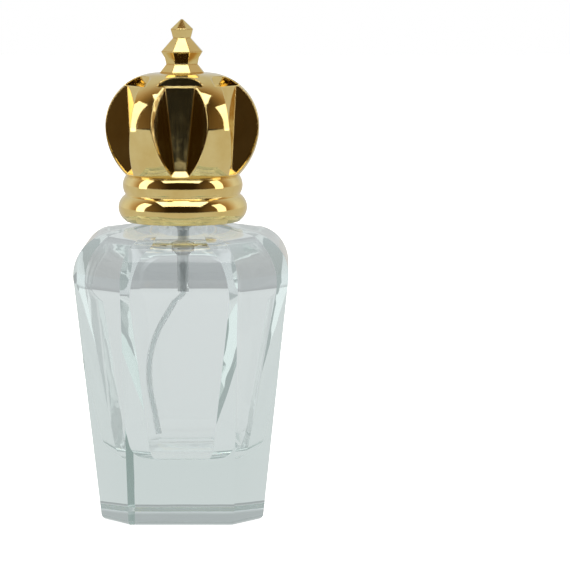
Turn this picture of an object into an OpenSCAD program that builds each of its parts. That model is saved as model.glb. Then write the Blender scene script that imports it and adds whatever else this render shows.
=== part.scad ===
// Square glass perfume bottle with chamfered corners, a crimped spray pump and a lift-off crown cap.
// The origin is at the middle of the foot, +Z is up and the nozzle faces -Y.

/* [Bottle] */
// Width across the flat sides where the shoulder starts
body_w = 52.6; // [47:0.2:64]
// Width across the flat sides at the foot
foot_w = 39.8; // [36:0.2:50]
// Width across the corner faces where the shoulder starts
corner_w = 57.2; // [50:0.2:70]
// Width across the corner faces at the foot
foot_corner_w = 46.4; // [42:0.2:58]
// Height of the side walls, up to the start of the shoulder
wall_h = 60.8; // [50:0.2:74]
// Height from there to the top of the shoulder, on the axis
shoulder_h = 13.1; // [11:0.1:16]
// Radius of the shoulder's curve
shoulder_r = 10; // [7:0.2:12]
// Slope of the shoulder near the neck, in degrees
shoulder_slope = 9; // [3:0.5:12]
// Width of the narrow bevel along the standing edges
edge_bevel = 1; // [0.6:0.1:2]
// Thickness of the glass at the shoulder
glass_t = 3.7; // [2.8:0.1:4.6]
// Thickness of the glass sides just above the base
low_glass_t = 9.4; // [6:0.1:11]
// Thickness of the solid glass base
base_t = 15.5; // [9:0.5:19]
// Slope of the cavity's roof under the shoulder, in degrees
roof_slope = 22; // [14:1:26]
// Radius of the curve between the cavity's walls and its roof
roof_r = 9; // [6:0.2:11]
// Rounding of the foot's edge
foot_round = 1.6; // [0.8:0.1:2.4]

/* [Neck] */
// Diameter of the neck under its bead
neck_d = 13.2; // [12.4:0.1:14]
// Diameter of the crimping bead
bead_d = 15; // [14.6:0.1:16]
// Height of the crimping bead
bead_h = 3.6; // [2.8:0.1:4.4]
// Diameter of the hole through the neck
bore_d = 9.4; // [9.2:0.1:11]
// Height of the neck above the shoulder's crown
neck_h = 7.6; // [6.8:0.1:9.2]

/* [Fixing] */
// Thickness of the neck gasket
gasket_t = 0.8; // [0.6:0.1:1.4]
// Thickness of the ferrule's aluminium
ferrule_t = 0.35; // [0.3:0.05:0.5]
// Thickness of the gold collar shell
shell_t = 0.38; // [0.3:0.02:0.5]
// Wall of the plastic collar liner beside the ferrule
liner_t = 0.6; // [0.5:0.05:0.9]
// Height of the collar above the ferrule's rim
collar_rise = 7.9; // [7.5:0.1:10]

/* [Pump] */
// Outside diameter of the pump housing
housing_d = 5.6; // [5.4:0.1:7]
// Diameter of the pump cylinder
cylinder_d = 4.4; // [4:0.1:4.6]
// Depth of the housing's wide part below the neck's rim
housing_depth = 11.6; // [11.2:0.1:15]
// Length of the housing's tail, which holds the dip tube
tail_l = 9.6; // [7:0.1:12]
// Outside diameter of the tail
tail_d = 2.8; // [2.5:0.1:3.2]
// Travel of the button
stroke = 4.5; // [3.5:0.1:5]
// Diameter of the stem
stem_d = 2.4; // [2.2:0.1:2.8]
// Diameter of the inlet ball
ball_d = 1.6; // [1.4:0.1:1.8]
// Thickness of the spring's wire
wire_d = 0.32; // [0.3:0.02:0.4]
// Turns of the spring
spring_turns = 4.5; // [3:0.5:5]

/* [Dip tube] */
// Outside diameter of the dip tube
tube_d = 1.5; // [1.3:0.1:1.7]
// Bore of the dip tube
tube_bore = 0.9; // [0.6:0.1:1]
// Angle by which the tube leans to the side
tube_lean = 31; // [18:1:34]
// Length of the leaning stretch
tube_lean_l = 8; // [6:0.5:9]
// Angle by which the tube's end curls back
tube_curl = 11; // [0:1:20]

/* [Button] */
// Diameter of the spray button
button_d = 11; // [10:0.1:12]
// Height of the spray button
button_h = 8.8; // [8:0.1:9.5]
// Diameter of the nozzle insert
nozzle_d = 3.4; // [3:0.1:3.8]

/* [Crown cap] */
// Largest diameter of the crown
crown_d = 38.2; // [36:0.2:44]
// Height of the crown above its two rings
crown_h = 25.5; // [23:0.1:29]
// Height of the crown's widest line above its rings
crown_wide_h = 12.4; // [11:0.1:14]
// Diameter of the lower ring
low_ring_d = 32; // [31:0.1:36]
// Height of the lower ring
low_ring_h = 6.6; // [6:0.1:8]
// Diameter of the upper ring
high_ring_d = 29.8; // [29.4:0.1:33]
// Height of the upper ring
high_ring_h = 4.5; // [3.8:0.1:5.4]
// Number of ribs, with as many windows between them
ribs = 6; // [5:1:7]
// Width of a window at its widest
window_w = 13.8; // [11:0.1:14.4]
// Width of the flat panel in a window, at its top
panel_w = 7; // [5:0.1:8]
// Width of that panel at its bottom
panel_low_w = 2.8; // [1.6:0.1:4]
// Distance of the panel's top from the axis
panel_r = 13.4; // [12.8:0.1:14.4]
// Diameter of the finial's wide bead, across flats
finial_d = 10.1; // [8.5:0.1:11.6]

/* [Clearances] */
// Gap all round between pieces that are pressed together
fit_gap = 0.02; // [0.01:0.01:0.04]
// Gap all round between pieces that slide on each other
slide_gap = 0.05; // [0.03:0.01:0.1]
// Gap all round between the cap's insert and the collar
cap_gap = 0.1; // [0.06:0.01:0.2]
// Gap under the cap when it is on
cap_seat_gap = 0.05; // [0.02:0.01:0.2]

/* [Hidden] */
$fn = 72;

// Colours of the real finishes
GLASS = [0.86, 0.93, 0.93, 0.45];
GOLD = [0.83, 0.64, 0.25];
SATIN_GOLD = [0.86, 0.70, 0.36];
ALUMINIUM = [0.78, 0.79, 0.80];
WHITE = [0.93, 0.93, 0.91];
CLEAR_PE = [0.88, 0.90, 0.90, 0.7];
RUBBER = [0.16, 0.16, 0.17];
STEEL = [0.66, 0.67, 0.69];

// Bottle: heights, the rounding of the cavity's floor and how the walls lean
far = 90;
cavity_round = 5;
corner_extra_t = 1.3;
bevel_depth = edge_bevel * 0.2071;
apex_z = wall_h + shoulder_h;
dome_z = apex_z - neck_d / 2 * tan(shoulder_slope);
finish_z = dome_z + neck_h;
bead_z = finish_z - bead_h;

// Fixing, stacked up from the neck's rim
ferrule_r = bead_d / 2 + fit_gap + ferrule_t;
rim_z = finish_z + gasket_t;
flange_r = 4.6;
flange_t = 1.2;
cap_flange_t = 1.4;
pot_z = rim_z + flange_t + cap_flange_t;
pot_top_z = pot_z + ferrule_t;
crimp_z = bead_z - ferrule_t;
plate_z = rim_z + ferrule_t;
liner_r = ferrule_r + fit_gap + liner_t;
shell_in_r = liner_r + fit_gap;
shell_r = shell_in_r + shell_t;
collar_foot_z = crimp_z - 1.3;
collar_top_z = plate_z + collar_rise;

// Pump, from the rim of the neck down
housing_r = housing_d / 2;
cylinder_r = cylinder_d / 2;
housing_z = finish_z - housing_depth;
taper_h = 2.3;
tail_z = housing_z - taper_h - tail_l;
spring_seat_z = housing_z + 1.1;
lip_t = 0.3;
chamber_r = ball_d / 2 + 0.25;
chamber_h = 1.9;
seat_r = ball_d * 0.28;
inlet_r = 0.4;
seat_z = spring_seat_z - lip_t - chamber_h;
seat_top_z = seat_z + chamber_r - seat_r;
ball_gap = 0.02;
ball_z = seat_z - seat_r + (ball_d / 2) * sqrt(2) + ball_gap;
tube_socket_z = seat_z - 2.6;
plug_l = 2.4;
plug_z = rim_z + flange_t - plug_l;
stem_gasket_t = 0.6;
stem_gasket_z = plug_z - stem_gasket_t;
stem_r = stem_d / 2;
stem_bore_r = 0.55;
piston_h = 3;
piston_z = stem_gasket_z - 0.1 - piston_h;
spring_top_z = piston_z - 0.02;
button_z = pot_top_z + stroke + 0.35;
stem_grip = 4.3;
stem_top_z = button_z + stem_grip;
stem_foot_z = piston_z + 0.8;
button_top_z = button_z + button_h;
nozzle_z = button_z + button_h * 0.62;
nozzle_l = 2.2;

// Dip tube
tube_bend_r = 6;
tube_back_r = 25.5;
tube_start_z = tail_z;
lean_x = -tube_bend_r * (1 - cos(tube_lean));
lean_z = tube_start_z - tube_bend_r * sin(tube_lean);
back_x = lean_x - tube_lean_l * sin(tube_lean);
back_z = lean_z - tube_lean_l * cos(tube_lean);
back_centre_x = back_x + tube_back_r * cos(tube_lean);
back_centre_z = back_z - tube_back_r * sin(tube_lean);
curl_x = back_centre_x - tube_back_r * cos(tube_curl);
curl_z = back_centre_z - tube_back_r * sin(tube_curl);
tube_end_gap = 3.6;
tube_sides = 16;
tube_steps = 6;
tube_end_l = (curl_z - base_t - tube_end_gap) / cos(tube_curl);

// Cap, stacked up from its foot
cap_foot_z = dome_z + 0.4;
groove_z = cap_foot_z + low_ring_h;
crown_z = groove_z + high_ring_h;
wide_z = crown_z + crown_wide_h;
crown_top_z = crown_z + crown_h;
crown_r = crown_d / 2;
crown_foot_r = 13.9;
crown_top_r = crown_h - crown_wide_h;
crown_low_steps = 9;
crown_top_steps = 16;
groove_r = 14.3;
ring_land = 0.1;
insert_in_r = shell_r + cap_gap;
insert_r = insert_in_r + 0.75;
insert_stop_z = collar_top_z + cap_seat_gap;
insert_top_z = insert_stop_z + 0.9;
insert_foot_z = cap_foot_z + 1.9;
insert_rib_t = 0.9;
skirt_bore_r = 12.6;
skirt_bore_z = crown_z - 0.9;
hollow_r = insert_r - 1.1;
ledge_z = crown_top_z - 3;
hollow_z = ledge_z - 2.1;
button_hole_r = button_d / 2 + 0.9;

// Crown windows: a leaf outline, cut inwards to a faceted floor
window_foot_z = crown_z + 0.5;
window_wide_z = crown_z + crown_h * 0.59;
window_top_z = crown_top_z - 0.7;
window_tip_w = 3.4;
window_steps = 10;
window_power = 3;
panel_low_r = panel_r - 0.02;
panel_low_z = window_foot_z + 1.6;
tip_r = 14.6;
recess_r = 10.1;
finial_peg_r = 1.6;
finial_peg_l = 2;

// A point on a superellipse, for an angle from 0 at the side to 90 at the top
function super_point(a, b, n, angle) = [a * pow(cos(angle), 2 / n), b * pow(sin(angle), 2 / n)];

function both_sides(points) = concat(points,
    [for (i = [len(points) - 1 : -1 : 0]) [-points[i][0], points[i][1]]]);

module ring_of(r_out, r_in, z, h) {
    translate([0, 0, z]) difference() {
        cylinder(r = r_out, h = h);
        translate([0, 0, -1]) cylinder(r = r_in, h = h + 2);
    }
}

// A block whose flat side passes through point and faces along azimuth and elevation
module half_space(point, azimuth, elevation) {
    translate(point) rotate([0, -elevation, azimuth]) translate([0, -far / 2, -far / 2]) cube(far);
}

// Outline of a leaning wall with a rounded foot and shoulder: w_foot is half its width at foot_z,
// k how fast it widens, r the shoulder's radius under a top slope that reaches the axis at top_z
module wall_outline(w_foot, k, foot_z, foot_r, r, slope, top_z) {
    wall_angle = atan(k);
    w_axis = w_foot - k * foot_z;
    cx = (w_axis + k * (top_z - r / cos(slope)) - r / cos(wall_angle)) / (1 + k * tan(slope));
    cz = top_z - cx * tan(slope) - r / cos(slope);
    fx = w_axis + k * (foot_z + foot_r) - foot_r / cos(wall_angle);
    fz = foot_z + foot_r;
    polygon(both_sides([[fx, foot_z], [fx + foot_r * cos(wall_angle), fz - foot_r * sin(wall_angle)],
        [cx + r * cos(wall_angle), cz - r * sin(wall_angle)], [cx + r * sin(slope), cz + r * cos(slope)],
        [0.01, top_z]]));
    for (side = [-1, 1]) {
        translate([side * cx, cz]) circle(r);
        translate([side * fx, fz]) circle(foot_r);
    }
}

// An outline drawn through from side to side, across the given azimuth
module drawn_through(azimuth) {
    rotate([90, 0, azimuth]) linear_extrude(far, center = true) children();
}

// Half width, at one height, of the bevel between a flat side and a corner face
function bevel_half(side_half, corner_half) =
    side_half * cos(22.5) + (sqrt(2) * corner_half - side_half) * sin(22.5) - bevel_depth;

module bottle_outside() {
    side_k = (body_w - foot_w) / 2 / wall_h;
    corner_k = (corner_w - foot_corner_w) / 2 / wall_h;
    bevel_foot = bevel_half(foot_w / 2, foot_corner_w / 2);
    bevel_k = (bevel_half(body_w / 2, corner_w / 2) - bevel_foot) / wall_h;
    ridge_slope = atan(tan(shoulder_slope) * cos(22.5));
    intersection() {
        drawn_through(0) wall_outline(foot_w / 2, side_k, 0, foot_round, shoulder_r, shoulder_slope, apex_z);
        drawn_through(90) wall_outline(foot_w / 2, side_k, 0, foot_round, shoulder_r, shoulder_slope, apex_z);
        drawn_through(45)
            wall_outline(foot_corner_w / 2, corner_k, 0, foot_round, shoulder_r, shoulder_slope, apex_z);
        drawn_through(135)
            wall_outline(foot_corner_w / 2, corner_k, 0, foot_round, shoulder_r, shoulder_slope, apex_z);
        for (i = [0 : 3]) drawn_through(22.5 + 45 * i)
            wall_outline(bevel_foot, bevel_k, 0, foot_round, shoulder_r * 1.05, ridge_slope, apex_z - 0.04);
    }
}

module bottle_cavity() {
    floor_share = base_t / wall_h;
    low_side = foot_w / 2 + (body_w - foot_w) / 2 * floor_share - low_glass_t;
    corner_half = foot_corner_w / 2 + (corner_w - foot_corner_w) / 2 * floor_share;
    low_corner = corner_half - low_glass_t - corner_extra_t;
    side_k = (body_w / 2 - glass_t - low_side) / (wall_h - base_t);
    corner_k = (corner_w / 2 - glass_t - low_corner) / (wall_h - base_t);
    top_z = apex_z - 0.5;
    intersection() {
        drawn_through(0) wall_outline(low_side, side_k, base_t, cavity_round, roof_r, roof_slope, top_z);
        drawn_through(90) wall_outline(low_side, side_k, base_t, cavity_round, roof_r, roof_slope, top_z);
        drawn_through(45) wall_outline(low_corner, corner_k, base_t, cavity_round, roof_r, roof_slope, top_z);
        drawn_through(135)
            wall_outline(low_corner, corner_k, base_t, cavity_round, roof_r, roof_slope, top_z);
    }
}

module neck_outside() {
    rotate_extrude() polygon([[0, wall_h], [neck_d / 2, wall_h], [neck_d / 2, bead_z],
        [bead_d / 2 - 0.4, bead_z], [bead_d / 2, bead_z + 0.5], [bead_d / 2, finish_z - 0.8],
        [bead_d / 2 - 0.8, finish_z], [0, finish_z]]);
}

module glass_bottle() {
    color(GLASS) difference() {
        union() {
            bottle_outside();
            neck_outside();
        }
        bottle_cavity();
        translate([0, 0, wall_h]) cylinder(d = bore_d, h = far);
    }
}

module neck_gasket() {
    color(RUBBER) ring_of(bead_d / 2 - 0.1, housing_r + slide_gap, finish_z, gasket_t);
}

// Aluminium cup: a skirt crimped under the bead, a plate on the gasket and a pot that holds the pump's head
module crimp_ferrule() {
    bead_r = bead_d / 2 + fit_gap;
    pot_r = flange_r + fit_gap;
    color(ALUMINIUM) rotate_extrude() polygon([
        [neck_d / 2 + 0.15, crimp_z], [ferrule_r, crimp_z], [ferrule_r, plate_z],
        [pot_r + ferrule_t, plate_z],
        [pot_r + ferrule_t, pot_top_z], [stem_r + 0.5, pot_top_z], [stem_r + 0.5, pot_z], [pot_r, pot_z],
        [pot_r, rim_z], [bead_r, rim_z], [bead_r, bead_z], [neck_d / 2 + 0.15, bead_z]]);
}

// Plastic ring that sits on the ferrule's plate and carries the gold shell
module collar_liner() {
    beside_r = ferrule_r + fit_gap;
    ledge_in_r = flange_r + fit_gap + ferrule_t + 0.3;
    color(WHITE) rotate_extrude() polygon([
        [beside_r, collar_foot_z + 0.3], [liner_r, collar_foot_z + 0.3], [liner_r, collar_top_z - shell_t],
        [liner_r - 0.8, collar_top_z - shell_t], [liner_r - 0.8, plate_z + 1.5], [ledge_in_r, plate_z + 1.5],
        [ledge_in_r, plate_z], [beside_r, plate_z]]);
}

module collar_shell() {
    lip_r = liner_r - 0.8;
    color(SATIN_GOLD) rotate_extrude() polygon([
        [shell_in_r, collar_foot_z], [shell_r, collar_foot_z], [shell_r, collar_top_z - 0.3],
        [shell_r - 0.3, collar_top_z], [lip_r, collar_top_z], [lip_r, collar_top_z - shell_t],
        [shell_in_r, collar_top_z - shell_t]]);
}

module pump_housing() {
    color(WHITE) difference() {
        rotate_extrude() polygon([
            [0, tail_z], [tail_d / 2, tail_z], [tail_d / 2, housing_z - taper_h], [housing_r, housing_z],
            [housing_r, rim_z], [flange_r, rim_z], [flange_r, rim_z + flange_t], [0, rim_z + flange_t]]);
        translate([0, 0, spring_seat_z]) cylinder(r = cylinder_r, h = far);
        translate([0, 0, seat_z]) cylinder(r = ball_d / 2 - 0.12, h = far);
        translate([0, 0, seat_top_z]) cylinder(r = chamber_r, h = spring_seat_z - lip_t - seat_top_z);
        translate([0, 0, seat_z]) cylinder(r1 = seat_r, r2 = chamber_r, h = chamber_r - seat_r);
        translate([0, 0, tail_z - 1]) cylinder(r = inlet_r, h = far / 2);
        translate([0, 0, tail_z - 1]) cylinder(d = tube_d + 2 * fit_gap, h = tube_socket_z - tail_z + 1);
    }
}

// Plug that closes the housing and guides the stem
module housing_cap() {
    color(WHITE) difference() {
        union() {
            translate([0, 0, rim_z + flange_t]) cylinder(r = flange_r, h = cap_flange_t);
            translate([0, 0, plug_z]) cylinder(r = cylinder_r - fit_gap, h = plug_l);
        }
        translate([0, 0, plug_z - 1]) cylinder(r = stem_r + slide_gap, h = plug_l + cap_flange_t + 2);
    }
}

module stem_gasket() {
    color(RUBBER) ring_of(cylinder_r - fit_gap, stem_r + slide_gap, stem_gasket_z, stem_gasket_t);
}

// Middle line of the dip tube as [x, z, lean], from its socket down to its open end
function tube_line() = concat(
    [[0, tube_socket_z, 0]],
    [for (i = [0 : tube_steps]) let (t = tube_lean * i / tube_steps)
        [-tube_bend_r * (1 - cos(t)), tube_start_z - tube_bend_r * sin(t), t]],
    [for (i = [0 : tube_steps * 2]) let (t = tube_lean - (tube_lean + tube_curl) * i / tube_steps / 2)
        [back_centre_x - tube_back_r * cos(t), back_centre_z + tube_back_r * sin(t), t]],
    [[curl_x + tube_end_l * sin(tube_curl), curl_z - tube_end_l * cos(tube_curl), -tube_curl]]);

function tube_ring(p, r) = [for (j = [0 : tube_sides - 1]) let (b = 360 * j / tube_sides)
    [p[0] + r * cos(b) * cos(p[2]), r * sin(b), p[1] - r * cos(b) * sin(p[2])]];

// Skin between rings laid out one after another from a first point
function tube_skin(first, rings, flip) = [for (i = [0 : rings - 2]) for (j = [0 : tube_sides - 1])
    let (k = (j + 1) % tube_sides, a = first + i * tube_sides, b = a + tube_sides)
    flip ? [a + j, b + j, b + k, a + k] : [a + j, a + k, b + k, b + j]];

// Flat ring of faces that closes one end between the outside and the bore
function tube_end(outside, bore, flip) = [for (j = [0 : tube_sides - 1])
    let (k = (j + 1) % tube_sides)
    flip ? [outside + j, bore + j, bore + k, outside + k] : [outside + j, outside + k, bore + k, bore + j]];

module dip_tube() {
    line = tube_line();
    rings = len(line);
    bore = rings * tube_sides;
    last = (rings - 1) * tube_sides;
    points = concat([for (p = line) each tube_ring(p, tube_d / 2)],
        [for (p = line) each tube_ring(p, tube_bore / 2)]);
    color(CLEAR_PE) polyhedron(points, concat(tube_skin(0, rings, false), tube_skin(bore, rings, true),
        tube_end(0, bore, true), tube_end(last, bore + last, false)));
}

module inlet_ball() {
    color(STEEL) translate([0, 0, ball_z]) sphere(d = ball_d);
}

module piston() {
    color(WHITE) difference() {
        translate([0, 0, piston_z]) cylinder(r = cylinder_r - slide_gap, h = piston_h);
        translate([0, 0, stem_foot_z]) cylinder(r = stem_r + fit_gap, h = piston_h);
        translate([0, 0, piston_z - 1]) cylinder(r = stem_bore_r, h = piston_h);
    }
}

module pump_stem() {
    color(WHITE) difference() {
        translate([0, 0, stem_foot_z]) cylinder(r = stem_r, h = stem_top_z - stem_foot_z);
        translate([0, 0, stem_foot_z - 1]) cylinder(r = stem_bore_r, h = stem_top_z - stem_foot_z + 2);
    }
}

// Points of the spring's wire, swept round a helix with a ring of corners at each step
function helix_point(turn, side, sides, pitch, r) =
    let (a = 360 * turn, b = 360 * side / sides, w = wire_d / 2)
    [(r + w * cos(b)) * cos(a), (r + w * cos(b)) * sin(a), turn * pitch + w * sin(b)];

module return_spring() {
    sides = 8;
    steps = 14;
    rings = spring_turns * steps;
    coil_r = cylinder_r - slide_gap - wire_d / 2 - 0.25;
    pitch = (spring_top_z - spring_seat_z - wire_d) / spring_turns;
    points = [for (i = [0 : rings]) for (j = [0 : sides - 1])
        helix_point(i / steps, j, sides, pitch, coil_r)];
    skin = [for (i = [0 : rings - 1]) for (j = [0 : sides - 1])
        let (k = (j + 1) % sides)
        [i * sides + j, i * sides + k, (i + 1) * sides + k, (i + 1) * sides + j]];
    foot = [[for (j = [sides - 1 : -1 : 0]) j]];
    top = [[for (j = [0 : sides - 1]) rings * sides + j]];
    color(STEEL) translate([0, 0, spring_seat_z + wire_d / 2]) polyhedron(points, concat(skin, foot, top));
}

module spray_button() {
    edge = 0.8;
    color(GOLD) difference() {
        union() {
            translate([0, 0, button_z]) cylinder(d = button_d, h = button_h - edge);
            translate([0, 0, button_top_z - edge])
                cylinder(r1 = button_d / 2, r2 = button_d / 2 - edge, h = edge);
        }
        translate([0, 0, button_z - 1]) cylinder(r = stem_r + slide_gap, h = stem_grip + 1);
        translate([0, 0, button_z]) cylinder(r = 0.45, h = nozzle_z - button_z);
        translate([0, 0, nozzle_z]) rotate([90, 0, 0]) cylinder(r = 0.45, h = button_d / 2);
        translate([0, -button_d / 2 + nozzle_l, nozzle_z]) rotate([90, 0, 0])
            cylinder(d = nozzle_d + 2 * fit_gap, h = nozzle_l + 1);
        // Finger dish
        translate([0, 0, button_top_z + 11.5]) sphere(r = 12, $fn = 96);
    }
}

// Small cup with the spray hole in its face
module nozzle_insert() {
    face_t = 0.6;
    color(WHITE) translate([0, -button_d / 2 + nozzle_l, nozzle_z]) rotate([90, 0, 0]) difference() {
        cylinder(d = nozzle_d, h = nozzle_l - 0.15);
        translate([0, 0, -1]) cylinder(d = nozzle_d - 1.2, h = nozzle_l - 0.15 - face_t + 1);
        translate([0, 0, -1]) cylinder(r = 0.15, h = nozzle_l + 2);
        translate([0, 0, nozzle_l - 0.35]) cylinder(r1 = 0.15, r2 = 0.5, h = 0.35);
    }
}

// Plastic sleeve that grips the collar, with ribs out to the crown's skirt
module cap_insert() {
    rib_top_z = skirt_bore_z - 0.3;
    color(WHITE) {
        difference() {
            union() {
                translate([0, 0, insert_foot_z]) cylinder(r = insert_r, h = insert_top_z - insert_foot_z);
                translate([0, 0, insert_foot_z]) cylinder(r = skirt_bore_r - fit_gap, h = 0.8);
                for (i = [0 : ribs - 1]) rotate([0, 0, 360 / ribs * i])
                    translate([insert_r - 0.3, -insert_rib_t / 2, insert_foot_z])
                        cube([skirt_bore_r - insert_r + 0.1, insert_rib_t, rib_top_z - insert_foot_z]);
            }
            translate([0, 0, insert_foot_z - 1])
                cylinder(r = insert_in_r, h = insert_stop_z - insert_foot_z + 1);
            translate([0, 0, insert_stop_z - 1]) cylinder(r = button_hole_r, h = 4);
        }
    }
}

// Radius of the arc that bulges by bulge over half its chord
function arc_r(half_chord, bulge) = (pow(half_chord, 2) + pow(bulge, 2)) / 2 / bulge;

// Part of a circle that stands out from the groove's depth, between two heights
module ring_bulge(r, z, h) {
    bulge_r = arc_r(h / 2 - ring_land, r - groove_r);
    intersection() {
        translate([r - bulge_r, z + h / 2]) circle(bulge_r);
        translate([0, z]) square([far, h]);
    }
}

// Crown of two arcs that meet at its widest line, stepped finely
module crown_profile() {
    low_r = arc_r(crown_wide_h, crown_r - crown_foot_r);
    low_end = asin(crown_wide_h / low_r);
    low = [for (i = [0 : crown_low_steps]) let (t = low_end * (1 - i / crown_low_steps))
        [crown_r - low_r + low_r * cos(t), wide_z - low_r * sin(t)]];
    top = [for (i = [1 : crown_top_steps]) let (t = 90 * i / crown_top_steps)
        [crown_r - crown_top_r + crown_top_r * cos(t), wide_z + crown_top_r * sin(t)]];
    translate([0, cap_foot_z]) square([groove_r, low_ring_h + high_ring_h - ring_land]);
    ring_bulge(low_ring_d / 2, cap_foot_z, low_ring_h);
    ring_bulge(high_ring_d / 2, groove_z, high_ring_h);
    polygon(concat([[0, crown_z - ring_land], [crown_foot_r - 0.2, crown_z - ring_land],
        [crown_foot_r - 0.2, crown_z]], low, top, [[0, crown_top_z]]));
}

module crown_outside() {
    rotate_extrude() crown_profile();
}

// Leaf outline: two arcs below its widest line, a blunt superellipse above it
module window_outline() {
    rise = window_wide_z - window_foot_z;
    side_r = arc_r(rise, (window_w - window_tip_w) / 2);
    top_h = window_top_z - window_wide_z;
    high = [for (i = [0 : window_steps])
        let (p = super_point(window_w / 2, top_h, window_power, 90 * i / window_steps))
        [p[0], window_wide_z + p[1]]];
    intersection() {
        translate([window_w / 2 - side_r, window_wide_z]) circle(side_r);
        translate([side_r - window_w / 2, window_wide_z]) circle(side_r);
        translate([-far / 2, window_foot_z]) square([far, rise]);
    }
    polygon(both_sides(high));
}

// What is cut away behind one window, which faces -Y
module window_cut() {
    rise = ledge_z - panel_low_z;
    lean = (panel_r - panel_low_r) / rise;
    spread = (panel_w - panel_low_w) / 2 / rise;
    slope = (panel_low_z - window_foot_z) / (tip_r - panel_low_r);
    top_edge = [panel_w / 2, -panel_r, ledge_z];
    intersection() {
        rotate([90, 0, 0]) linear_extrude(far / 2) window_outline();
        union() {
            intersection() {
                half_space([0, -panel_r, ledge_z], -90, -atan(lean));
                half_space(top_edge, -135, atan((spread - lean) / sqrt(2)));
                mirror([1, 0, 0]) half_space(top_edge, -135, atan((spread - lean) / sqrt(2)));
                half_space([0, -panel_low_r, panel_low_z], -90, atan(1 / slope));
                translate([-far / 2, -far, ledge_z - far]) cube(far);
            }
            translate([-far / 2, -far - recess_r, ledge_z - 0.001]) cube(far);
        }
    }
}

module crown_cap() {
    color(GOLD) difference() {
        crown_outside();
        for (i = [0 : ribs - 1]) rotate([0, 0, 360 / ribs * i]) window_cut();
        translate([0, 0, cap_foot_z - 1]) cylinder(r = skirt_bore_r, h = skirt_bore_z - cap_foot_z + 1);
        translate([0, 0, cap_foot_z])
            cylinder(r = insert_r + fit_gap, h = insert_top_z - cap_foot_z);
        translate([0, 0, cap_foot_z]) cylinder(r = hollow_r, h = hollow_z - cap_foot_z);
        translate([0, 0, crown_top_z - finial_peg_l - 0.1]) cylinder(r = finial_peg_r + fit_gap, h = far);
    }
}

// One eight-sided stretch of the finial, between two widths across flats
module finial_stretch(z, h, low_d, high_d) {
    across = cos(22.5);
    translate([0, 0, crown_top_z + z]) rotate([0, 0, 22.5])
        cylinder(r1 = low_d / 2 / across, r2 = high_d / 2 / across, h = h, $fn = 8);
}

module crown_finial() {
    foot_d = finial_d * 1.08;
    waist_d = finial_d * 0.76;
    under_d = finial_d * 0.82;
    throat_d = finial_d * 0.43;
    bud_d = finial_d * 0.54;
    color(GOLD) {
        translate([0, 0, crown_top_z - finial_peg_l]) cylinder(r = finial_peg_r, h = finial_peg_l + 0.5);
        finial_stretch(0, 2.1, foot_d, waist_d);
        finial_stretch(2.1, 1.5, waist_d, under_d);
        finial_stretch(3.6, 1.6, under_d, finial_d);
        finial_stretch(5.2, 3.3, finial_d, throat_d);
        finial_stretch(8.5, 2.2, throat_d, bud_d);
        finial_stretch(10.7, 2.4, bud_d, 0.5);
    }
}

glass_bottle();
neck_gasket();
crimp_ferrule();
collar_liner();
collar_shell();
pump_housing();
housing_cap();
stem_gasket();
dip_tube();
inlet_ball();
return_spring();
piston();
pump_stem();
spray_button();
nozzle_insert();
cap_insert();
crown_cap();
crown_finial();
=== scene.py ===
# %% [markdown]
# # A square glass perfume bottle with a gold crown cap
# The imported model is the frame: every node is already in its real place, in metres, with the
# foot of the bottle at the origin and the nozzle facing -Y. This lesson gives each part its real
# finish, winds the spring again from round wire, stands the bottle on a pale table and lights it
# the way small shiny goods are lit.

import math

import bpy
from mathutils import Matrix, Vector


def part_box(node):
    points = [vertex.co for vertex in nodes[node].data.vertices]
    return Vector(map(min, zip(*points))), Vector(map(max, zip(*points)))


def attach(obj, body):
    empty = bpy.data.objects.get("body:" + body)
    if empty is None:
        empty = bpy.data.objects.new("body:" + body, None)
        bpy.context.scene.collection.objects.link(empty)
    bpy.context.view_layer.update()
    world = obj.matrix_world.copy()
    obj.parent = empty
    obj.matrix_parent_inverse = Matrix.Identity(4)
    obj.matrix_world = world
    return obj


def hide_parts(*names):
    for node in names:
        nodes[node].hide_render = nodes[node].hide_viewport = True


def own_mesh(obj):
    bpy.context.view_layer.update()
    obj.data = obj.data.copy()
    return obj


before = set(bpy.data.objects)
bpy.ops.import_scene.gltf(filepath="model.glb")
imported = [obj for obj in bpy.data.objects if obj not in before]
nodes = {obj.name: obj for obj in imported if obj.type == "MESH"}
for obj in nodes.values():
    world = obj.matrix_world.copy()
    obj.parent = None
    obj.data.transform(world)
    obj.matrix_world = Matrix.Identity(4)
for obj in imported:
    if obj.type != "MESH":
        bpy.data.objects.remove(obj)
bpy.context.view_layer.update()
MM = 0.001
print("nodes:", ", ".join(sorted(nodes)))

# %% [markdown]
# ## Colour
# Colours are written as the hex values that a colour picker shows. Blender's shaders work in
# linear light, so one function turns a hex value into that, by the curve of the sRGB standard.


# %% From hex to linear light
def linear(hex_colour):
    """Red, green and blue in linear light, and an alpha of 1."""
    channels = [int(hex_colour[i : i + 2], 16) / 255 for i in (1, 3, 5)]
    light = [c / 12.92 if c <= 0.04045 else ((c + 0.055) / 1.055) ** 2.4 for c in channels]
    return (*light, 1.0)


print("mid grey in linear light:", round(linear("#808080")[0], 3))

# %% [markdown]
# ## Building a material
# A material is a small network of nodes. One helper adds a node of any kind: it takes the values
# of its sockets, and what is linked into them, in one go. A second one starts a material, and a
# third closes it with its output.


# %% Node helpers
def add(tree, kind, sockets=None, **settings):
    """Adds a node. A socket is named by its label, or by its number where labels repeat."""
    made = tree.nodes.new(kind)
    for name, value in settings.items():
        setattr(made, name, value)
    for name, value in (sockets or {}).items():
        if isinstance(value, bpy.types.NodeSocket):
            tree.links.new(value, made.inputs[name])
        else:
            made.inputs[name].default_value = value
    return made


def new_material(name):
    material = bpy.data.materials.new(name)
    material.use_nodes = True
    material.node_tree.nodes.clear()
    return material, material.node_tree


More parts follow.
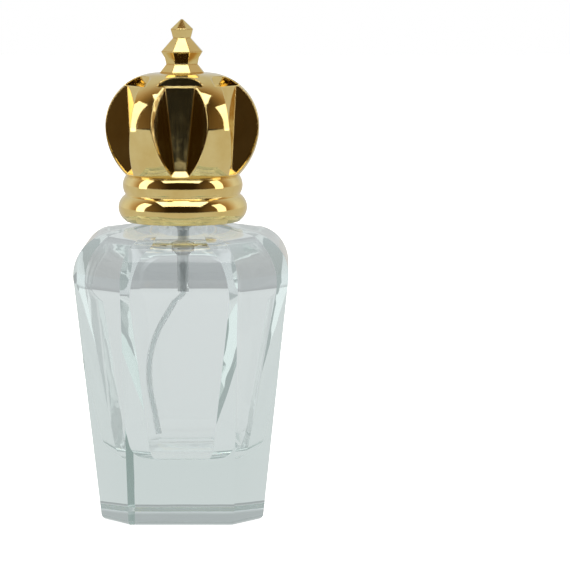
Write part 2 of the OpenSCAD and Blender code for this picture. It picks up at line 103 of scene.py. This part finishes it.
def finish_material(tree, shader, volume=None):
    out = add(tree, "ShaderNodeOutputMaterial", {"Surface": shader.outputs["BSDF"]})
    if volume:
        tree.links.new(volume.outputs["Volume"], out.inputs["Volume"])


print("node helpers ready")

# %% [markdown]
# No real surface is perfectly even. Each finish here has a faint pattern in its colour, its
# roughness and its height. The patterns are noise that is laid through the object, so they keep
# their real size whatever the part is. Their sizes and depths are given in millimetres, and the
# helpers turn them into Blender's metres.
#
# Most of the noise lies between NOISE_LOW and NOISE_HIGH. A Mix node has sockets for every kind
# of value under the same labels, so its colour sockets are named by their numbers.

# %% Patterns in millimetres
NOISE_LOW, NOISE_HIGH = 0.3, 0.7
MIX_FACTOR, MIX_DARK, MIX_LIGHT, MIX_COLOUR = 0, 6, 7, 2
EDGE_RAYS = 6


def grain(tree, size_mm, detail=3.0, stretch=(1, 1, 1)):
    """Noise whose blobs are about size_mm across, longer along the axes where stretch is small."""
    place = add(tree, "ShaderNodeTexCoord").outputs["Object"]
    mapped = add(tree, "ShaderNodeMapping", {"Vector": place, "Scale": stretch}).outputs["Vector"]
    sockets = {"Vector": mapped, "Scale": 1 / (size_mm * MM), "Detail": detail, "Roughness": 0.55}
    return add(tree, "ShaderNodeTexNoise", sockets).outputs["Fac"]


def spread(tree, value, low, high):
    """Turns noise into values from low to high."""
    sockets = {"Value": value, "From Min": NOISE_LOW, "From Max": NOISE_HIGH, "To Min": low, "To Max": high}
    return add(tree, "ShaderNodeMapRange", sockets).outputs["Result"]


def tint(tree, value, dark, light):
    """Mixes two hex colours, the dark one where value is 0 and the light one where it is 1."""
    sockets = {MIX_FACTOR: value, MIX_DARK: linear(dark), MIX_LIGHT: linear(light)}
    return add(tree, "ShaderNodeMix", sockets, data_type="RGBA").outputs[MIX_COLOUR]


def bump(tree, height, depth_mm, edge_mm=0.0):
    """Raises a pattern by up to depth_mm, over edges that look rounded to edge_mm."""
    sockets = {"Height": height, "Distance": depth_mm * MM}
    if edge_mm:
        rounded = add(tree, "ShaderNodeBevel", {"Radius": edge_mm * MM}, samples=EDGE_RAYS)
        sockets["Normal"] = rounded.outputs["Normal"]
    return add(tree, "ShaderNodeBump", sockets).outputs["Normal"]


print("noise is used between", NOISE_LOW, "and", NOISE_HIGH)

# %% [markdown]
# ## Light that a render loses
# Light runs round inside a thick glass corner many times before it comes out. A render follows
# only a few of those turns, and the rest would show as black stripes. So light that has been
# mirrored MIRROR_TURNS times inside something clear is taken to come out again with LOST_LIGHT of
# full white, in the colour that the room has through the glass.

# %% Give back the lost light
MIRROR_TURNS = 4
LOST_LIGHT = 0.28
ROOM_THROUGH_GLASS = "#F2F9FB"


def lost_light(tree):
    """The glow of clear material: LOST_LIGHT after MIRROR_TURNS mirrorings, and none before."""
    turns = add(tree, "ShaderNodeLightPath").outputs["Glossy Depth"]
    lost = add(tree, "ShaderNodeMath", {0: turns, 1: MIRROR_TURNS - 0.5}, operation="GREATER_THAN")
    glow = add(tree, "ShaderNodeMath", {0: lost.outputs[0], 1: LOST_LIGHT}, operation="MULTIPLY")
    return glow.outputs[0]


print("light comes back after", MIRROR_TURNS, "mirrorings")

# %% [markdown]
# ## Flint glass
# The bottle is pressed flint glass. Its skin is fire-polished, so it is very smooth but gently
# wavy over some millimetres, which bends the reflections a little. Thick parts carry a faint
# grey-green from traces of iron. That colour could be painted on the skin, but it belongs in the
# volume, so that thick glass is tinted and thin glass is not.


# %% Glass
def flint_glass():
    material, tree = new_material("pressed_flint_glass")
    waves = grain(tree, size_mm=9, detail=1.0)
    sockets = {
        "Base Color": linear("#FFFFFF"),
        "Roughness": spread(tree, grain(tree, size_mm=3), 0.0, 0.012),
        "IOR": 1.52,
        "Transmission Weight": 1.0,
        "Normal": bump(tree, waves, depth_mm=0.05),
        "Emission Color": linear(ROOM_THROUGH_GLASS),
        "Emission Strength": lost_light(tree),
    }
    shader = add(tree, "ShaderNodeBsdfPrincipled", sockets)
    absorb = add(tree, "ShaderNodeVolumeAbsorption", {"Color": linear("#CFE0DA"), "Density": 9.0})
    finish_material(tree, shader, absorb)
    return material


glass = flint_glass()
print("made", glass.name)

# %% [markdown]
# ## Gold
# The cap is cast zinc with a thin polished gold plate. Pure gold's colour is warm yellow, and it
# only looks amber where light has bounced twice between two gold faces, so the base colour stays
# pale. Castings keep a faint waviness under the plate, and handling leaves hairline scratches.
# Real scratches are too fine to show, so these are drawn coarser than they are.
#
# No edge of a casting is quite sharp. A Bevel node in the material turns the normal near an edge,
# as if the edge were rounded to CAST_EDGE, and so every edge catches a thin line of light.
#
# The collar and the spray button are gold-anodised aluminium. Anodising leaves the metal a little
# yellower than plating does, and duller, so its highlights are broader.

# %% Gold-plated zinc and gold-anodised aluminium
CAST_EDGE = 0.45
SCRATCH = 0.9


def polished_gold(name, dark, light, wave_mm, wave_depth, rough):
    material, tree = new_material(name)
    soft = grain(tree, wave_mm, detail=1.5)
    hair = grain(tree, SCRATCH, detail=4, stretch=(1, 1, 0.15))
    sockets = {
        "Base Color": tint(tree, spread(tree, grain(tree, size_mm=6), 0, 1), dark, light),
        "Metallic": 1.0,
        "Roughness": spread(tree, hair, *rough),
        "Normal": bump(tree, soft, wave_depth, edge_mm=CAST_EDGE),
    }
    finish_material(tree, add(tree, "ShaderNodeBsdfPrincipled", sockets))
    return material


cap_gold = polished_gold(
    "gold_plated_zinc", "#E4C982", "#EDD898", wave_mm=4.0, wave_depth=0.03, rough=(0.04, 0.09)
)
shell_gold = polished_gold(
    "gold_anodised_aluminium", "#E9C77A", "#F2D48A", wave_mm=2.0, wave_depth=0.004, rough=(0.10, 0.18)
)
print("made", cap_gold.name, shell_gold.name)

# %% [markdown]
# ## The plain metals
# The crimped ferrule is bright drawn aluminium and the ball and spring are stainless steel. Both
# are bare metal with fine drawing lines that run round the part and pull the highlights out into
# soft bands. The real lines are too fine to show, so these are drawn coarser than they are.

# %% Aluminium and stainless steel
LINE_DEPTH = 0.004


def bare_metal(name, dark, light, line_mm, rough):
    material, tree = new_material(name)
    lines = grain(tree, line_mm, detail=3, stretch=(0.1, 0.1, 1))
    sockets = {
        "Base Color": tint(tree, lines, dark, light),
        "Metallic": 1.0,
        "Roughness": spread(tree, lines, *rough),
        "Normal": bump(tree, lines, LINE_DEPTH),
    }
    finish_material(tree, add(tree, "ShaderNodeBsdfPrincipled", sockets))
    return material


drawn_aluminium = bare_metal("drawn_aluminium", "#D6D8DA", "#E8E9EA", line_mm=0.4, rough=(0.15, 0.28))
stainless = bare_metal("stainless_steel_wire", "#B8B6B2", "#CFCDC9", line_mm=0.3, rough=(0.18, 0.3))
print("made", drawn_aluminium.name, stainless.name)

# %% [markdown]
# ## Plastics and rubber
# The pump's inner parts and the linings of cap and collar are injection-moulded polypropylene,
# with the dull sheen of the mould's skin. The white ones are filled with titanium dioxide, so they
# are opaque, and a little light sinks into them and softens their shadows. The housing is
# unfilled, so it is milky and light passes through it. So is the dip tube, which is extruded from
# polyethylene and smoother. The gaskets are moulded rubber, matt and nearly black.
#
# These plastics have an IOR of about 1.49. The two clear ones are set lower than that, because
# the outlines of a real pump and tube stay faint behind glass.

# %% Moulded plastics
MOULD_TEXTURE = 0.6


def moulded(name, dark, light, rough, clear=0.0, ior=1.49, scatter=0.0, texture_depth=0.003):
    material, tree = new_material(name)
    skin = grain(tree, MOULD_TEXTURE, detail=2)
    sockets = {
        "Base Color": tint(tree, spread(tree, grain(tree, size_mm=5), 0, 1), dark, light),
        "Roughness": spread(tree, skin, *rough),
        "IOR": ior,
        "Transmission Weight": clear,
        "Normal": bump(tree, skin, texture_depth),
    }
    if clear:
        sockets["Emission Color"] = linear(ROOM_THROUGH_GLASS)
        sockets["Emission Strength"] = lost_light(tree)
    if scatter:
        sockets["Subsurface Weight"] = scatter
        sockets["Subsurface Scale"] = 1.0 * MM
    finish_material(tree, add(tree, "ShaderNodeBsdfPrincipled", sockets))
    return material


white_plastic = moulded("white_polypropylene", "#E6E5E0", "#EEEDE9", (0.3, 0.42), scatter=0.3)
milky_plastic = moulded("natural_polypropylene", "#F0F3F3", "#F8FAFA", (0.3, 0.36), clear=0.85, ior=1.35)
tube_plastic = moulded(
    "natural_polyethylene_tube", "#F2F6F6", "#FAFCFC", (0.1, 0.14), clear=0.9, ior=1.3, texture_depth=0.0005
)
gasket_rubber = moulded("moulded_black_rubber", "#1B1B1D", "#242427", (0.6, 0.75), ior=1.52)
print("made the plastics and the rubber")

# %% [markdown]
# ## A finish for every part
# Each node is one piece of one material, so every material slot of a node gets the same finish.

# %% Give the nodes their finishes
FINISHES = {
    "glass_bottle": glass,
    "neck_gasket": gasket_rubber,
    "crimp_ferrule": drawn_aluminium,
    "collar_liner": white_plastic,
    "collar_shell": shell_gold,
    "pump_housing": milky_plastic,
    "housing_cap": white_plastic,
    "stem_gasket": gasket_rubber,
    "dip_tube": tube_plastic,
    "inlet_ball": stainless,
    "return_spring": stainless,
    "piston": white_plastic,
    "pump_stem": white_plastic,
    "spray_button": shell_gold,
    "nozzle_insert": white_plastic,
    "cap_insert": white_plastic,
    "crown_cap": cap_gold,
    "crown_finial": cap_gold,
}
for name, material in FINISHES.items():
    for slot in nodes[name].material_slots:
        slot.material = material
print("finished", len(FINISHES), "nodes")

# %% [markdown]
# ## Smooth skins and soft edges
# The frame's meshes come with one hard normal for each small face. A polished casting is smooth
# across those faces, and so is an extruded tube. Modifiers give that without touching the frame's
# own mesh: join the doubled points, then shade everything smooth except the edges that stay
# sharp. On the crown and the finial a narrow bevel follows. It makes their edges really round by
# a hair, on top of the roundness that the gold's Bevel node shows.

# %% A modifier for smooth skin
DOUBLED_POINTS = 0.002 * MM


def skin_group(sharp_degrees):
    group = bpy.data.node_groups.new(f"smooth_skin_{sharp_degrees}", "GeometryNodeTree")
    group.interface.new_socket("Geometry", in_out="INPUT", socket_type="NodeSocketGeometry")
    group.interface.new_socket("Geometry", in_out="OUTPUT", socket_type="NodeSocketGeometry")
    start = add(group, "NodeGroupInput").outputs["Geometry"]
    angle = add(group, "GeometryNodeInputMeshEdgeAngle").outputs["Unsigned Angle"]
    limit = {"A": angle, "B": math.radians(sharp_degrees)}
    sharp = add(group, "FunctionNodeCompare", limit, operation="GREATER_THAN")
    doubled = {"Geometry": start, "Distance": DOUBLED_POINTS}
    joined = add(group, "GeometryNodeMergeByDistance", doubled)
    edges = {"Mesh": joined.outputs["Geometry"], "Edge Sharpness": sharp.outputs["Result"]}
    smooth = add(group, "GeometryNodeSetMeshNormal", edges, mode="SHARPNESS")
    add(group, "NodeGroupOutput", {"Geometry": smooth.outputs["Mesh"]})
    return group


print("points closer than", round(DOUBLED_POINTS / MM, 4), "mm are joined")


# %% Put the skins on
def smooth_skin(name, edge_mm=0.0, sharp_degrees=30):
    piece = nodes[name]
    skin = piece.modifiers.new("skin", "NODES")
    skin.node_group = skin_group(sharp_degrees)
    if edge_mm:
        edge = piece.modifiers.new("edge", "BEVEL")
        edge.width = edge_mm * MM
        edge.segments = 2
        edge.limit_method = "ANGLE"
        edge.angle_limit = math.radians(sharp_degrees)
        edge.harden_normals = True
        edge.miter_outer = "MITER_ARC"


smooth_skin("crown_cap", edge_mm=0.34)
smooth_skin("crown_finial", edge_mm=0.12, sharp_degrees=20)
smooth_skin("dip_tube", sharp_degrees=50)
print("skins on the crown, the finial and the dip tube")

# %% [markdown]
# ## The return spring
# The spring is squeezed when the button goes down, so it is wound here as a piece of its own. The
# wire is made of rings of points, one ring for each step along the coil, and faces join each ring
# to the next. Two more faces close the ends of the wire.

# %% Wind the wire
SPRING_TURNS = 4.5
SPRING_WIRE = 0.32 * MM
WIRE_SIDES = 12
TURN_STEPS = 40


def wound_wire(radius, foot, rise):
    """Points and faces of a coil that starts at the height foot and climbs by rise in each turn."""
    wire = SPRING_WIRE / 2
    steps = int(SPRING_TURNS * TURN_STEPS)
    points = []
    for i in range(steps + 1):
        turn = 2 * math.pi * i / TURN_STEPS
        for j in range(WIRE_SIDES):
            around = 2 * math.pi * j / WIRE_SIDES
            out = radius + wire * math.cos(around)
            height = foot + rise * i / TURN_STEPS + wire * math.sin(around)
            points.append((out * math.cos(turn), out * math.sin(turn), height))
    last = steps * WIRE_SIDES
    faces = [tuple(range(WIRE_SIDES)), tuple(last + j for j in reversed(range(WIRE_SIDES)))]
    for i in range(steps):
        for j in range(WIRE_SIDES):
            a, b = i * WIRE_SIDES + j, i * WIRE_SIDES + (j + 1) % WIRE_SIDES
            faces.append((a, a + WIRE_SIDES, b + WIRE_SIDES, b))
    return points, faces


print("spring wire in mm:", round(SPRING_WIRE / MM, 2))

# %% [markdown]
# The coil fills the box of the frame's spring and takes its place. Its foot stands in the pump's
# housing, so it rides on the bottle.


# %% Fit the spring
def coil_spring():
    low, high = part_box("return_spring")
    wire = SPRING_WIRE / 2
    rise = (high.z - low.z - SPRING_WIRE) / SPRING_TURNS
    points, faces = wound_wire(high.x - wire, low.z + wire, rise)
    mesh = bpy.data.meshes.new("coil_spring")
    mesh.from_pydata(points, [], faces)
    mesh.polygons.foreach_set("use_smooth", [len(face) == 4 for face in faces])
    mesh.materials.append(stainless)
    spring = bpy.data.objects.new("coil_spring", mesh)
    bpy.context.scene.collection.objects.link(spring)
    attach(spring, "bottle")
    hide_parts("return_spring")
    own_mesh(spring)
    return spring


spring = coil_spring()
print("spring of", len(spring.data.polygons), "faces")

# %% [markdown]
# ## Three kinds of sight
# Shiny things show the room around them, so the room is what really gives gold and glass their
# look. The table and the room here have three looks each, and a Light Path node tells which one
# a ray of sight gets. The eye sees a plain white sweep and a pale table. Mirrors, which are the
# gold and the skin of the glass, see a studio: a white sweep behind, a table that ends a metre in
# front, and a dim, warm room beyond it. Dull surfaces are lit by that studio too. Whatever is
# seen through the glass is even and pale.


# %% Choose a look by the kind of sight
def by_sight(tree, eye, mirror, through):
    path = add(tree, "ShaderNodeLightPath")
    bent = path.outputs["Is Transmission Ray"]
    bounced = add(tree, "ShaderNodeMixShader", {0: bent, 1: mirror, 2: through})
    straight = path.outputs["Is Camera Ray"]
    return add(tree, "ShaderNodeMixShader", {0: straight, 1: bounced.outputs["Shader"], 2: eye})


def fade(tree, value, start, end, low, high):
    """Goes softly from low to high while value goes from start to end."""
    sockets = {"Value": value, "From Min": start, "From Max": end, "To Min": low, "To Max": high}
    return add(tree, "ShaderNodeMapRange", sockets, interpolation_type="SMOOTHSTEP").outputs["Result"]


print("three kinds of sight: straight, mirrored and through glass")

# %% [markdown]
# ## The table
# The table is white laminate with a matt pressed face, so it shows no sharp highlight. It gives
# off a little light, as a table lit from below does, which keeps the shadow under the thick glass
# foot soft. Its material has the three looks. Mirrors see it only as far as its front edge, and a
# nearly black floor beyond.

# %% White laminate
TABLE_END = -1.0
TABLE_FADE = 0.05
TABLE_GLOW = 0.92
TABLE_MIRRORED = 0.68
FLOOR_MIRRORED = 0.02
TABLE_THROUGH = 0.77


def white_laminate():
    material, tree = new_material("white_laminate")
    cloudy = grain(tree, size_mm=60, detail=2)
    lit = {
        "Base Color": tint(tree, cloudy, "#F6F6F6", "#FAFAFA"),
        "Roughness": 0.6,
        "Emission Color": linear("#FFFFFF"),
        "Emission Strength": TABLE_GLOW,
    }
    seen = add(tree, "ShaderNodeBsdfPrincipled", lit).outputs["BSDF"]
    place = add(tree, "ShaderNodeTexCoord").outputs["Object"]
    along = add(tree, "ShaderNodeSeparateXYZ", {"Vector": place}).outputs["Y"]
    glow = fade(tree, along, TABLE_END, TABLE_END + TABLE_FADE, FLOOR_MIRRORED, TABLE_MIRRORED)
    mirrored = add(tree, "ShaderNodeEmission", {"Color": linear("#FAF7F0"), "Strength": glow})
    through = add(tree, "ShaderNodeEmission", {"Color": linear("#F2F9F9"), "Strength": TABLE_THROUGH})
    surface = by_sight(tree, seen, mirrored.outputs["Emission"], through.outputs["Emission"])
    add(tree, "ShaderNodeOutputMaterial", {"Surface": surface.outputs["Shader"]})
    return material


laminate = white_laminate()
print("made", laminate.name)

# %% [markdown]
# The table itself is one square face. It lies a hair below the foot of the bottle, because two
# faces in the same plane would flicker. It is not attached to the bottle.

# %% Table
TABLE_HALF = 3.0
TABLE_DROP = 0.1 * MM


def pale_table():
    half = TABLE_HALF
    mesh = bpy.data.meshes.new("table")
    corners = [(-half, -half, 0), (half, -half, 0), (half, half, 0), (-half, half, 0)]
    mesh.from_pydata(corners, [], [(0, 1, 2, 3)])
    mesh.materials.append(laminate)
    table = bpy.data.objects.new("table", mesh)
    bpy.context.scene.collection.objects.link(table)
    table.location.z = -TABLE_DROP
    return table


table = pale_table()
print("table under the foot")

# %% [markdown]
# ## The room
# The world is a sphere of light round everything, so its brightness can only depend on the
# direction: X is 1 to the right, Y is 1 straight behind the bottle, and Z is 1 straight up. Each
# fade below starts and ends at such a direction.
#
# Mirrors see the bright sweep behind, a dim room in front that is warm as lamplight is, and some
# light from the walls at both sides. The dim part is what draws dark bands in polished gold.
# Through the glass the room is a little darker near the horizon, as the edge of a sweep is.

# %% Room
SWEEP_MIRRORED = 0.7
FRONT_MIRRORED = 0.03
WALLS_MIRRORED = 0.16
HORIZON_THROUGH = 0.43
SWEEP_THROUGH = 0.7


def studio_room():
    world = bpy.data.worlds.new("studio")
    bpy.context.scene.world = world
    world.use_nodes = True
    tree = world.node_tree
    tree.nodes.clear()
    way = add(tree, "ShaderNodeTexCoord").outputs["Generated"]
    axes = add(tree, "ShaderNodeSeparateXYZ", {"Vector": way})
    back = fade(tree, axes.outputs["Y"], start=-0.35, end=0.6, low=FRONT_MIRRORED, high=SWEEP_MIRRORED)
    sideways = add(tree, "ShaderNodeMath", {0: axes.outputs["X"]}, operation="ABSOLUTE").outputs[0]
    walls = fade(tree, sideways, start=0.35, end=0.95, low=0.0, high=WALLS_MIRRORED)
    dim = add(tree, "ShaderNodeMath", {0: back, 1: walls}, operation="ADD").outputs[0]
    soft = fade(tree, axes.outputs["Z"], start=0.08, end=0.5, low=HORIZON_THROUGH, high=SWEEP_THROUGH)
    seen = add(tree, "ShaderNodeBackground", {"Color": linear("#FFFFFF"), "Strength": 1.0})
    paler = fade(tree, axes.outputs["Y"], start=-0.1, end=0.6, low=0.0, high=1.0)
    warm = tint(tree, paler, "#FFCF90", "#F7F8F6")
    mirrored = add(tree, "ShaderNodeBackground", {"Color": warm, "Strength": dim})
    through = add(tree, "ShaderNodeBackground", {"Color": linear(ROOM_THROUGH_GLASS), "Strength": soft})
    surface = by_sight(tree, *(sight.outputs["Background"] for sight in (seen, mirrored, through)))
    add(tree, "ShaderNodeOutputWorld", {"Surface": surface.outputs["Shader"]})
    return world


room = studio_room()
print("made the room", room.name)

# %% [markdown]
# ## Soft boxes
# Three large soft lamps, one above and one at each side, draw the long clean highlights that
# polished gold is lit for. They are kept out of what is seen through the glass, where their hard
# outlines would show as white notches in the clear walls.

# %% Soft boxes
LIT_POINT = (0, 0, 70 * MM)


def soft_box(name, place, size, watts):
    light = bpy.data.lights.new(name, "AREA")
    light.shape = "RECTANGLE"
    light.size, light.size_y = size
    light.energy = watts
    lamp = bpy.data.objects.new(name, light)
    bpy.context.scene.collection.objects.link(lamp)
    lamp.location = place
    away = [place[i] - LIT_POINT[i] for i in range(3)]
    flat = math.hypot(away[0], away[1])
    lamp.rotation_euler = (math.atan2(flat, away[2]), 0, math.atan2(away[0], -away[1]))
    lamp.visible_transmission = False


soft_box("box_above", place=(0, -0.30, 0.75), size=(0.9, 0.6), watts=3.9)
soft_box("box_left", place=(-0.8, -0.15, 0.35), size=(0.3, 0.8), watts=1.5)
soft_box("box_right", place=(0.8, -0.2, 0.35), size=(0.3, 0.7), watts=1.3)
print("three soft boxes lit")

# %% [markdown]
# ## The camera
# A long lens from a little above the shoulder keeps the upright edges nearly parallel. The bottle
# stands to the left of the middle of the picture. The lens and the sensor are in millimetres, as
# they are on a real camera.

# %% Camera
LENS = 152.4
SENSOR = 36
LOOK_DOWN = math.radians(7.6)
AIM = (25.4 * MM, 0, 56.9 * MM)
DISTANCE = 603 * MM

camera_data = bpy.data.cameras.new("camera")
camera_data.lens = LENS
camera_data.sensor_width = SENSOR
camera_data.clip_start = 10 * MM
camera = bpy.data.objects.new("camera", camera_data)
bpy.context.scene.collection.objects.link(camera)
camera.location = (AIM[0], -DISTANCE * math.cos(LOOK_DOWN), AIM[2] + DISTANCE * math.sin(LOOK_DOWN))
camera.rotation_euler = (math.pi / 2 - LOOK_DOWN, 0, 0)
bpy.context.scene.camera = camera
bpy.context.scene.view_settings.view_transform = "Standard"
print("camera at", [round(v, 3) for v in camera.location])
